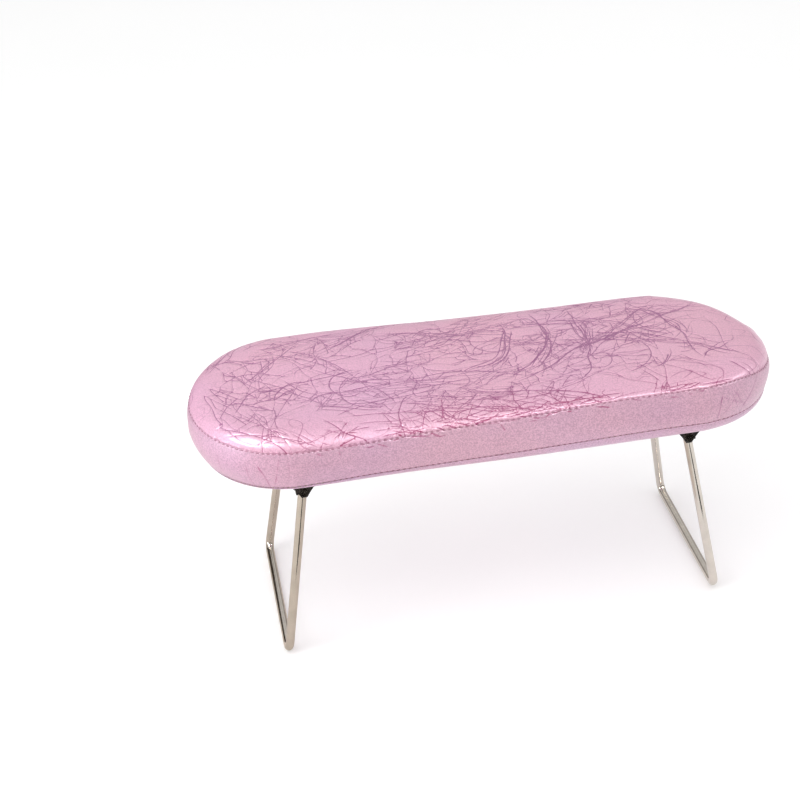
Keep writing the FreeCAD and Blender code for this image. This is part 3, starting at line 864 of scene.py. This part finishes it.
def build_side_band(puff):
    """The boxing strip between the two seams."""
    total = SIDE_PROFILE.total
    count = int(PERIMETER / SIDE_STEP)
    share = np.linspace(0, 1, 42)
    lengths = total * (share - 0.09 * np.sin(2 * math.pi * share))
    outer, facing = puff.lift(*place_ring(SIDE_PROFILE, lengths, count))
    along, down = ring_lengths(lengths, count)
    depth, flank, red = side_creases().at(np.column_stack([along, down]))
    fade = np.clip(np.minimum(down, total - down) / 1.2, 0, 1)
    swell = 0.12 * np.sin(along / 11 + np.sin(along / 23) * 2) * np.sin(down / 9 + along / 40)
    gather = gathered(along) * np.exp(-(down / 5) ** 2) * np.clip(down / 0.8, 0, 1)
    gather = 0.2 * gather * np.sin((along - 2 * down) / 2.1 + 2 * np.sin(along / 15))
    relief = (swell + gather + FLANK_RISE * flank - CREASE_DEPTH * depth) * fade
    relief -= pinch(along, down) + pinch(along, total - down)
    outer = outer + facing * relief[:, None]
    red = np.maximum(red, 0.6 * ease(1 - down / 10))
    inner = np.linspace(total, 0, 8)
    return close_band("side_band_panel", SIDE_PROFILE, outer, inner, count, puff, crease=depth, red=red)


def build_rim_cover(puff):
    """The strip below the lower seam, rolled under the board and hemmed, with gathers at the ends."""
    count = int(PERIMETER / EDGE_STEP)
    lengths = RIM_PROFILE.total * np.linspace(0, 1, 34) ** 1.3
    outer, facing = puff.lift(*place_ring(RIM_PROFILE, lengths, count))
    along, down = ring_lengths(lengths, count)
    curved = np.tile(np.abs(outline(count)[1][:, 0]), len(lengths))
    gather = np.clip((down - 9) / 8, 0, 1) * curved
    gather *= 0.5 + 0.5 * np.sin(along * 1.15 + np.sin(along / 9))
    outer = outer - facing * (0.35 * gather + pinch(along, down))[:, None]
    return close_band("rim_cover_panel", RIM_PROFILE, outer, lengths[::-1], count, puff, crease=(), red=())


def build_liner():
    """The panel that closes the underside, with a softly rolled edge."""
    rng = np.random.default_rng(SEED + 4)
    count = int(PERIMETER / 2.5)
    edge, normals = outline(count)
    roll = ((0.0, 1.0), (0.12, 0.55), (0.5, 0.12), (1.2, 0.0))   # steps inwards and shares of the height
    rings = [
        level_sheet(edge - normals * (LINER_INSET + step), UNDERSIDE + HEM_HEIGHT * share)
        for step, share in roll
    ]
    edge_roll = roll[-1][0]
    base_flat, base_faces = fill_outline(rings[-1][:, :2], grid_inside(4.0, LINER_INSET + 4.0, rng))
    base = level_sheet(base_flat, UNDERSIDE)
    x, y = base_flat.T
    dip = 0.12 * np.sin(x / 13 + np.sin(y / 9)) * np.sin(y / 11)
    inset, _normal = inset_of(base_flat)
    base[:, 2] += np.clip((inset - LINER_INSET - edge_roll) / 6, 0, 1) * (0.14 + dip)
    top_flat, top_faces = fill_outline(rings[0][:, :2], grid_inside(8.0, LINER_INSET + 6.0, rng))
    top = level_sheet(top_flat, UNDERSIDE + HEM_HEIGHT)
    return close_block("underside_liner_panel", count, top, top_faces, rings[1:-1], base, base_faces)


def build_foam(puff):
    """The foam block: a crowned top, soft sides and a pocket underneath that holds the board."""
    rng = np.random.default_rng(SEED + 6)
    gap = COVER + 0.25
    count = int(PERIMETER / 3.0)
    edge, normals = outline(count)
    flat, top_faces = fill_outline(edge + normals * TOP_MARGIN, grid_inside(4.0, 3.0, rng))
    top, _facing = puff.lift(*place_top(flat), gap)
    lie = BOARD_INSET - FOAM_GAP
    reach = np.interp(lie, RIM_PROFILE.inset, RIM_PROFILE.length)
    rings = []
    for profile, last in ((SIDE_PROFILE, SIDE_PROFILE.total - 0.5), (RIM_PROFILE, reach)):
        sheet, _facing = puff.lift(*place_ring(profile, np.linspace(0.5, last, 12), count), gap)
        rings += np.split(sheet, 12)
    lip = edge - normals * lie
    ceiling_flat, ceiling_faces = fill_outline(lip, grid_inside(8.0, lie + 6.0, rng))
    ceiling = level_sheet(ceiling_flat, BOARD_TOP + FOAM_GAP)
    return close_block("foam_block", count, top, top_faces, rings, ceiling, ceiling_faces)


# ---- thread

def stitch_shape(turns=8, rows=7, blunt=0.12):
    """One stitch as unit points and faces: a plump bead drawn out along X, with blunt ends."""
    angle = np.linspace(0, math.pi, rows)
    girth = np.maximum(np.abs(np.sin(angle)) ** 0.55, blunt)
    around = compass(2 * math.pi * np.arange(turns) / turns)
    points = np.column_stack([np.repeat(-np.cos(angle), turns), np.kron(girth[:, None], around)])
    starts = ring_starts(rows, turns)
    caps = [tuple(range(turns))[::-1], tuple(range(starts[-1], starts[-1] + turns))]
    return points, strips(starts[::-1], turns) + caps


def build_stitches(name, profile, length, puff, buried=0.0):
    """A row of stitches that follows the cover at one length down a profile; the leather swallows
    some of them, and those at the left end as deep as buried says."""
    rng = np.random.default_rng(SEED + 5)
    place, facing = puff.lift(*place_ring(profile, [length], STITCHES))
    sink = 0.1 * np.clip(smooth_noise(rng, STITCHES, 40.0, PITCH), 0, 1.5)
    sink += buried * ease((-90 - place[:, 0]) / 40)
    unit, unit_faces = stitch_shape()
    beads = []
    for index in range(STITCHES):
        ahead = place[(index + 1) % STITCHES] - place[index - 1]
        ahead = ahead / np.linalg.norm(ahead)
        out = facing[index]
        across = np.cross(out, ahead)
        tilt = rng.normal(0.05, 0.05)
        ahead, across = ahead + across * tilt, across - ahead * tilt
        half_length = PITCH * rng.uniform(0.30, 0.35)
        body = unit[:, :1] * ahead * half_length + unit[:, 1:2] * across * 0.28 + unit[:, 2:] * out * 0.26
        bow = (unit[:, :1] ** 2) * out * -0.22
        middle = place[index] - out * (sink[index] + rng.uniform(0.0, 0.06))
        beads.append((middle + body + bow, unit_faces))
    points, faces, _starts = stack(beads)
    return make_object(name, points, faces)


# ---- materials

class Shader:
    """A short way to build the node tree of a new material or world."""

    def __init__(self, name, kind="materials"):
        self.block = getattr(bpy.data, kind).new(name)
        self.block.use_nodes = True
        self.tree = self.block.node_tree
        self.surface = self.tree.nodes.get("Principled BSDF")

    def node(self, kind, inputs=None, **settings):
        """Add a node; an input may be a value or another node's output socket."""
        node = self.tree.nodes.new(kind)
        for name, value in settings.items():
            setattr(node, name, value)
        for name, value in (inputs or {}).items():
            self.feed(node, name, value)
        return node

    def feed(self, node, name, value):
        """Set or connect one input."""
        if isinstance(value, bpy.types.NodeSocket):
            self.tree.links.new(value, node.inputs[name])
        else:
            node.inputs[name].default_value = value

    def set(self, **values):
        """Set or connect inputs of the surface; an underscore stands for a space."""
        for name, value in values.items():
            self.feed(self.surface, name.replace("_", " "), value)

    def coords(self, scale=(1, 1, 1), rotation=(0, 0, 0)):
        """Object coordinates in metres, stretched."""
        place = self.node("ShaderNodeTexCoord").outputs["Object"]
        inputs = {"Vector": place, "Scale": scale, "Rotation": rotation}
        return self.node("ShaderNodeMapping", inputs).outputs["Vector"]

    def noise(self, vector, scale, detail=3.0, roughness=0.5, distortion=0.0):
        """A noise value from 0 to 1."""
        inputs = {"Vector": vector, "Scale": scale, "Detail": detail}
        inputs.update({"Roughness": roughness, "Distortion": distortion})
        return self.node("ShaderNodeTexNoise", inputs).outputs["Fac"]

    def cells(self, vector, scale, **settings):
        """Distance in a pattern of irregular cells."""
        inputs = {"Vector": vector, "Scale": scale}
        return self.node("ShaderNodeTexVoronoi", inputs, **settings).outputs["Distance"]

    def math(self, operation, first, second=0.0, clamp=False):
        """One arithmetic step."""
        inputs = {0: first, 1: second}
        return self.node("ShaderNodeMath", inputs, operation=operation, use_clamp=clamp).outputs[0]

    def ramp(self, value, low, high, start=0.0, end=1.0):
        """Map a value from one span to another, clamped."""
        inputs = {"Value": value, "From Min": low, "From Max": high, "To Min": start, "To Max": end}
        return self.node("ShaderNodeMapRange", inputs).outputs["Result"]

    def mix(self, factor, first, second, blend="MIX"):
        """Mix two colours."""
        inputs = {0: factor, 6: first, 7: second}
        return self.node("ShaderNodeMix", inputs, data_type="RGBA", blend_type=blend).outputs[2]

    def value(self, name):
        """A named point value of the mesh."""
        return self.node("ShaderNodeAttribute", attribute_name=name).outputs["Fac"]

    def bump(self, height, strength, distance, normal=None):
        """Bend the normal by a height; distance is in millimetres."""
        inputs = {"Height": height, "Strength": strength, "Distance": distance * MM}
        if normal is not None:
            inputs["Normal"] = normal
        return self.node("ShaderNodeBump", inputs).outputs["Normal"]


def contours(shader, place, scale, bands, width):
    """Lines that run like the height lines of a smooth map: near-parallel, never crossing."""
    smooth = shader.noise(place, scale, 0.5, 0.4, 0.25)
    level = shader.math("PINGPONG", shader.math("MULTIPLY", smooth, bands), 0.5)
    return shader.ramp(level, 0.0, width, 1.0, 0.0)


HAIR_WIDTH = 0.022         # share of the way to the next line
# Fields of hairlines: turn, stretch along the lines, scale and lines per wave.
HAIR_SWEEPS = ((0.0, 0.32, 24.0, 9.0), (1.1, 0.4, 30.0, 5.0), (-0.7, 0.5, 34.0, 5.0))


def leather_material(name, base, cool, web=1.0, grain=1.0):
    """Pearl-coated leather: dark crease lines, a fine web, leather grain and a lilac sheen."""
    shader = Shader(name)
    place = shader.coords()
    warp = shader.node("ShaderNodeTexNoise", {"Vector": place, "Scale": 38.0, "Detail": 2.0}).outputs["Color"]
    offset = shader.node("ShaderNodeVectorMath", {0: warp, "Scale": 0.03}, operation="SCALE").outputs[0]
    bent = shader.node("ShaderNodeVectorMath", {0: place, 1: offset}, operation="ADD").outputs[0]
    stretched = shader.node("ShaderNodeMapping", {"Vector": bent, "Scale": (0.55, 1.0, 1.0)}).outputs[0]
    web_edge = shader.cells(stretched, 70.0, feature="DISTANCE_TO_EDGE")
    hair = shader.ramp(web_edge, 0.0, 0.016, 0.8, 0.0)
    hair = shader.math("MULTIPLY", hair, shader.ramp(shader.noise(place, 24.0, 2.0), 0.44, 0.6))
    for number, (turn, stretch, scale, bands) in enumerate(HAIR_SWEEPS):
        turned_place = shader.coords(scale=(stretch, 1.0, 1.0), rotation=(0, 0, turn))
        line = contours(shader, turned_place, scale, bands, HAIR_WIDTH)
        patch = shader.ramp(shader.noise(place, 31.0 + 7.0 * number, 2.0), 0.47, 0.58)
        hair = shader.math("MAXIMUM", hair, shader.math("MULTIPLY", line, patch))
    hair = shader.math("MULTIPLY", hair, 0.7 * web)

    cloud = shader.noise(place, 9.0, 3.0)
    speckle = shader.noise(place, 1000.0, 2.0, 0.7)
    colour = shader.mix(shader.ramp(cloud, 0.35, 0.65), base, cool)
    lift = 1 + 0.24 * grain
    lighter = shader.mix(1.0, colour, (lift, lift + 0.02, lift, 1), "MULTIPLY")
    colour = shader.mix(shader.ramp(speckle, 0.38, 0.62), colour, lighter)
    crease = shader.value("crease")
    red = shader.value("red")
    violet = (0.30, 0.085, 0.225, 1)
    crimson = (0.34, 0.02, 0.115, 1)
    vein = shader.mix(red, violet, crimson)
    line = shader.math("ADD", shader.ramp(crease, 0.2, 0.55, 0.0, 0.92), hair, clamp=True)
    colour = shader.mix(line, colour, vein)

    fine = shader.noise(place, 900.0, 3.0, 0.6)
    pebble = shader.cells(place, 1100.0)
    normal = shader.bump(pebble, 0.3 * grain, 0.06)
    normal = shader.bump(fine, 0.45 * grain, 0.08, normal)
    normal = shader.bump(hair, -0.7, 0.15, normal)
    shader.set(
        Base_Color=colour,
        Metallic=0.1,
        Roughness=shader.ramp(fine, 0.3, 0.7, 0.36, 0.5),
        Normal=normal,
        Coat_Weight=0.5,
        Coat_Roughness=0.33,
        Sheen_Weight=0.12,
        Sheen_Roughness=0.4,
        Sheen_Tint=(0.95, 0.8, 1.0, 1),
    )
    return shader.block


def thread_material():
    """Twisted sewing thread."""
    shader = Shader("sewing_thread")
    place = shader.coords(rotation=(0.6, 0.5, 0.7))
    wave = {"Vector": place, "Scale": 900.0, "Distortion": 1.5}
    twist = shader.node("ShaderNodeTexWave", wave).outputs["Fac"]
    tint = shader.noise(place, 300.0, 1.0)
    colour = shader.mix(tint, (0.33, 0.10, 0.18, 1), (0.48, 0.20, 0.29, 1))
    # Darker bands along the twist: painted shade in the grooves between the plies.
    colour = shader.mix(shader.ramp(twist, 0.2, 0.8, 0.0, 0.4), colour, (0.19, 0.05, 0.10, 1))
    shader.set(Base_Color=colour, Roughness=0.5, Sheen_Weight=0.4, Normal=shader.bump(twist, 0.6, 0.1))
    return shader.block


def chrome_material(name, tint, streaks, dull=0.0):
    """Plated steel: long draw marks, a tint and tiny pits; dull adds roughness.  On the legs and hinge plates
    the tint also holds painted light.
    """
    shader = Shader(name)
    drawn = shader.noise(shader.coords(scale=(1.0, 1.0, 0.03)), 1400.0, 3.0)
    cloud = shader.noise(shader.coords(), 120.0, 3.0)
    pits = shader.noise(shader.coords(), 2600.0, 2.0)
    pale = (*(1.12 * part for part in tint), 1)
    colour = shader.mix(shader.ramp(cloud, 0.35, 0.65), (*tint, 1), pale)
    normal = shader.bump(drawn, streaks, 0.02)
    normal = shader.bump(pits, 0.05, 0.01, normal)
    shader.set(
        Base_Color=colour,
        Metallic=1.0,
        Roughness=shader.ramp(cloud, 0.3, 0.7, 0.07 + dull, 0.16 + dull),
        Normal=normal,
    )
    return shader.block


def foam_material():
    """Open-cell polyurethane foam."""
    shader = Shader("upholstery_foam")
    cells = shader.cells(shader.coords(), 700.0)
    # Darker round the middle of each cell: painted shade in the foam's open pores.
    colour = shader.mix(shader.ramp(cells, 0.1, 0.5), (0.62, 0.56, 0.36, 1), (0.90, 0.86, 0.68, 1))
    shader.set(Base_Color=colour, Roughness=0.95, Normal=shader.bump(cells, 0.8, 0.5))
    return shader.block


def plywood_material():
    """Birch plywood: grain on its faces and thin dark glue lines on its edge."""
    shader = Shader("plywood")
    grain = shader.noise(shader.coords(scale=(0.05, 1.0, 1.0)), 260.0, 4.0, 0.6, 0.6)
    wave = {"Vector": shader.coords(), "Scale": 105.0, "Distortion": 0.2}
    plies = shader.node("ShaderNodeTexWave", wave, bands_direction="Z").outputs["Fac"]
    colour = shader.mix(shader.ramp(grain, 0.35, 0.65), (0.52, 0.36, 0.20, 1), (0.72, 0.55, 0.36, 1))
    colour = shader.mix(shader.ramp(plies, 0.0, 0.2, 0.45, 0.0), colour, (0.20, 0.12, 0.06, 1))
    shader.set(Base_Color=colour, Roughness=0.7, Normal=shader.bump(grain, 0.3, 0.2))
    return shader.block


def liner_material():
    """Pressed non-woven lining with short fibres and a bonded dot pattern."""
    shader = Shader("nonwoven_lining")
    fibres = shader.noise(shader.coords(scale=(1, 0.25, 1)), 1500.0, 4.0, 0.7, 2.0)
    dots = shader.node("ShaderNodeTexVoronoi", {"Vector": shader.coords(), "Scale": 420.0, "Randomness": 0.0})
    dent = shader.ramp(dots.outputs["Distance"], 0.18, 0.3)
    colour = shader.mix(shader.ramp(fibres, 0.35, 0.65), (0.55, 0.42, 0.50, 1), (0.74, 0.60, 0.69, 1))
    colour = shader.mix(shader.ramp(dent, 0, 1, 0.25, 0.0), colour, (0.42, 0.30, 0.38, 1))
    normal = shader.bump(dent, 0.5, 0.15)
    normal = shader.bump(fibres, 0.5, 0.08, normal)
    shader.set(Base_Color=colour, Roughness=0.8, Sheen_Weight=0.3, Normal=normal)
    return shader.block


# ---- the object

def dress(piece, material, node):
    """Give a new piece of the cushion its material and its body, and hide the CAD node it stands for."""
    piece.data.materials.append(material)
    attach(piece, "cushion")
    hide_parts(node)


def paint(node, material):
    """Give a carried-over CAD node a better material."""
    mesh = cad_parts[node].data
    mesh.materials.clear()
    mesh.materials.append(material)


def build_cushion():
    """Every soft piece of the cushion."""
    puff = Puff()
    top = leather_material("pearl_leather_top", (0.655, 0.354, 0.465, 1), (0.63, 0.348, 0.50, 1))
    side = leather_material("pearl_leather_side", (0.478, 0.269, 0.352, 1), (0.446, 0.26, 0.374, 1), 0.2, 1.8)
    rim = leather_material("pearl_leather_rim", (0.475, 0.285, 0.385, 1), (0.446, 0.285, 0.413, 1), 0.1, 1.6)
    thread = thread_material()
    seam_gap = 0.35
    dress(build_top_cover(puff), top, "top_cover")
    dress(build_side_band(puff), side, "side_band")
    dress(build_rim_cover(puff), rim, "rim_cover")
    dress(build_liner(), liner_material(), "underside_liner")
    top_row = build_stitches("top_stitches", SIDE_PROFILE, seam_gap, puff)
    dress(top_row, thread, "top_seam_thread")
    low_row = build_stitches("low_stitches", SIDE_PROFILE, SIDE_PROFILE.total - seam_gap, puff, 0.35)
    dress(low_row, thread, "low_seam_thread")
    dress(build_foam(puff), foam_material(), "foam_core")


def build_metal():
    """Materials of the carried-over legs, hinges and fasteners."""
    # The legs' tint is dark as real chrome is; its warm beige cast is a painted reflection of a warm table
    # top.
    chrome = chrome_material("chrome_wire", (0.56, 0.515, 0.465), 0.2)
    # The hinge plates' near-black tint is painted shade: the plated steel sits in the shade under the
    # cushion.
    plate = chrome_material("shade_painted_plate", (0.11, 0.10, 0.10), 0.02, 0.14)
    zinc = chrome_material("zinc_screw", (0.62, 0.62, 0.63), 0.15)
    for side in ("left", "right"):
        paint(f"{side}_leg_wire", chrome)
        paint(f"{side}_hinge_plate", plate)
        paint(f"{side}_hinge_screws", zinc)
    paint("cover_staples", zinc)
    paint("base_board", plywood_material())


# ---- studio

SOFT_LIGHT = 0.85          # strength of the even light from all round
CUSHION_MIDDLE = Vector((0, 0, 0.15))
ROOM_LIGHT = 0.8           # strength of the room that shows in reflections
ROOM_TONES = (             # tones of that room from straight below (0) to straight above (1)
    (0.0, (0.60, 0.56, 0.50)), (0.50, (0.62, 0.57, 0.50)), (0.55, (0.08, 0.07, 0.07)),
    (0.60, (0.55, 0.52, 0.48)), (0.78, (0.95, 0.95, 0.95)), (1.0, (1.0, 1.0, 1.0)),
)


def staged_sheet(name, corners, shader):
    """A flat four-cornered piece of the studio."""
    mesh = bpy.data.meshes.new(name)
    mesh.from_pydata(corners, [], [(0, 1, 2, 3)])
    mesh.materials.append(shader.block)
    sheet = add_object(name, mesh)
    return sheet


def build_floor():
    """A wide pale floor under the feet."""
    reach = 9.0
    shader = Shader("pale_floor")
    tone = shader.noise(shader.coords(), 3.0, 2.0)
    shader.set(
        Base_Color=shader.mix(tone, (0.93, 0.93, 0.93, 1), (0.95, 0.95, 0.95, 1)),
        Roughness=0.7,
        Emission_Color=(1, 1, 1, 1),
        Emission_Strength=0.12,
    )
    corners = [(-reach, -reach, 0), (reach, -reach, 0), (reach, reach, 0), (-reach, reach, 0)]
    staged_sheet("studio_floor", corners, shader)


def build_world():
    """White for the camera and for soft light; a warm room with a dark band for reflections."""
    shader = Shader("studio", "worlds")
    bpy.context.scene.world = shader.block
    shader.tree.nodes.clear()
    ray = shader.node("ShaderNodeTexCoord").outputs["Generated"]
    climb = shader.node("ShaderNodeSeparateXYZ", {0: ray}).outputs["Z"]
    ramp = shader.node("ShaderNodeValToRGB", {0: shader.ramp(climb, -1.0, 1.0)})
    elements = ramp.color_ramp.elements
    while len(elements) < len(ROOM_TONES):
        elements.new(0.5)
    for element, (position, tone) in zip(elements, ROOM_TONES):
        element.position = position
        element.color = (*tone, 1)
    room = shader.node("ShaderNodeBackground", {"Color": ramp.outputs[0], "Strength": ROOM_LIGHT})
    soft = shader.node("ShaderNodeBackground", {"Color": (1, 1, 1, 1), "Strength": SOFT_LIGHT})
    glossy = shader.node("ShaderNodeLightPath").outputs["Is Glossy Ray"]
    choose = shader.node("ShaderNodeMixShader", {0: glossy, 1: soft.outputs[0], 2: room.outputs[0]})
    shader.node("ShaderNodeOutputWorld", {0: choose.outputs[0]})


def area_light(name, direction, distance, size, power, diffuse=True, shine=True):
    """A flat light that faces the cushion from a direction; it may leave out shine or all but shine."""
    data = bpy.data.lights.new(name, "AREA")
    data.shape = "RECTANGLE"
    data.size, data.size_y = size
    data.energy = power
    lamp = add_object(name, data)
    lamp.visible_diffuse = diffuse
    lamp.visible_glossy = shine
    away = Vector(direction).normalized()
    lamp.location = CUSHION_MIDDLE + away * distance
    lamp.rotation_mode = "QUATERNION"
    lamp.rotation_quaternion = away.to_track_quat("Z", "Y")


def mirror_card(name, low, high, tone):
    """A flat card, seen only in reflections, that gives the chrome something to mirror."""
    shader = Shader(name)
    shader.set(Base_Color=(*tone, 1), Roughness=1.0, Specular_IOR_Level=0.0)
    corners = [low, (high[0], low[1], low[2]), high, (low[0], high[1], high[2])]
    card = staged_sheet(name, corners, shader)
    card.visible_camera = False
    card.visible_diffuse = False
    card.visible_shadow = False


def build_camera():
    """The viewing angle: from the front, a little left, looking down at about thirty degrees."""
    place = Vector((-0.1988, -0.9464, 0.7478))
    target = Vector((-0.0556, 0.0058, 0.150))
    roll = math.radians(-3.2)
    data = bpy.data.cameras.new("camera")
    data.lens = 74.87
    data.sensor_width = 36
    camera = add_object("camera", data)
    camera.location = place
    camera.rotation_mode = "QUATERNION"
    facing = (target - place).to_track_quat("-Z", "Y")
    camera.rotation_quaternion = facing @ Quaternion((0, 0, 1), roll)
    bpy.context.scene.camera = camera


def build_studio():
    """Floor, backdrop, lights and camera."""
    build_floor()
    build_world()
    area_light("key", (-0.58, -0.29, 0.79), 1.3, (0.6, 0.6), 1.9)
    area_light("side", (0.88, -0.14, 0.42), 1.4, (0.5, 0.7), 0.7)
    area_light("left_fill", (-0.94, -0.30, 0.14), 1.4, (0.6, 0.5), 6.2)
    area_light("top", (0.0, -0.2, 1.0), 1.6, (1.6, 1.2), 3.4, shine=False)
    area_light("left_shine", (-0.52, -0.26, 0.82), 1.3, (0.5, 0.42), 21, diffuse=False)
    area_light("seam_shine", (0.30, -0.62, 0.72), 1.4, (0.34, 0.2), 11, diffuse=False)
    area_light("right_shine", (0.82, -0.34, 0.42), 1.4, (0.9, 0.22), 8, diffuse=False)
    black = (0.012, 0.011, 0.010)
    mirror_card("left_front_card", (-0.16, -0.60, 0.004), (-0.075, -0.20, 0.004), black)
    mirror_card("right_front_card", (0.15, -0.60, 0.004), (0.25, -0.20, 0.004), black)
    mirror_card("back_left_card", (-0.60, 0.30, 0.004), (-0.20, 0.30, 0.22), (0.05, 0.04, 0.03))
    mirror_card("warm_card", (-0.60, -0.60, 0.002), (0.05, 0.60, 0.002), (0.80, 0.745, 0.68))
    build_camera()
    bpy.context.scene.view_settings.view_transform = "Standard"


build_cushion()
build_metal()
build_studio()
